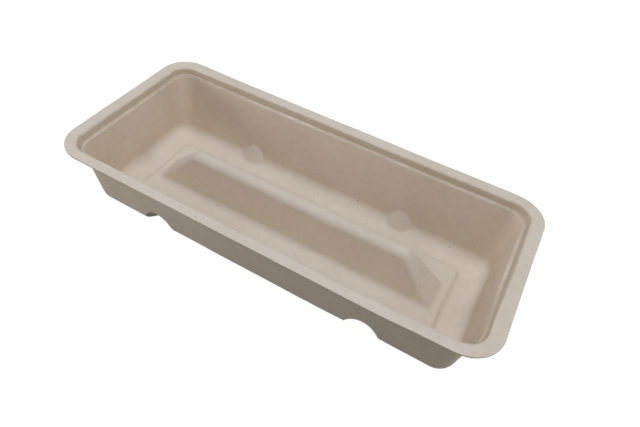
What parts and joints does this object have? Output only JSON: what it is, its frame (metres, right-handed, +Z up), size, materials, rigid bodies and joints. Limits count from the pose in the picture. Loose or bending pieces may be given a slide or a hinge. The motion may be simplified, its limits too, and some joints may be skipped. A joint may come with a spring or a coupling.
{
  "type": "food tray",
  "caption": "Long rectangular food tray pressed from plant fibre, with a flat rim, a stepped lid seat, sloping walls and a raised rib along the middle of the floor.",
  "frame": {"origin": "middle of the foot ring's underside, on the surface that the tray stands on", "axes": "+Z up out of the open top; X along the tray's length; Y across it, with the lugs that stand closer together on the +Y wall"},
  "size_m": [0.224, 0.105, 0.0395],
  "materials": {
    "pulp": "matte"
  },
  "bodies": {
    "root": {"tray": "pulp"}
  },
  "joints": []
}
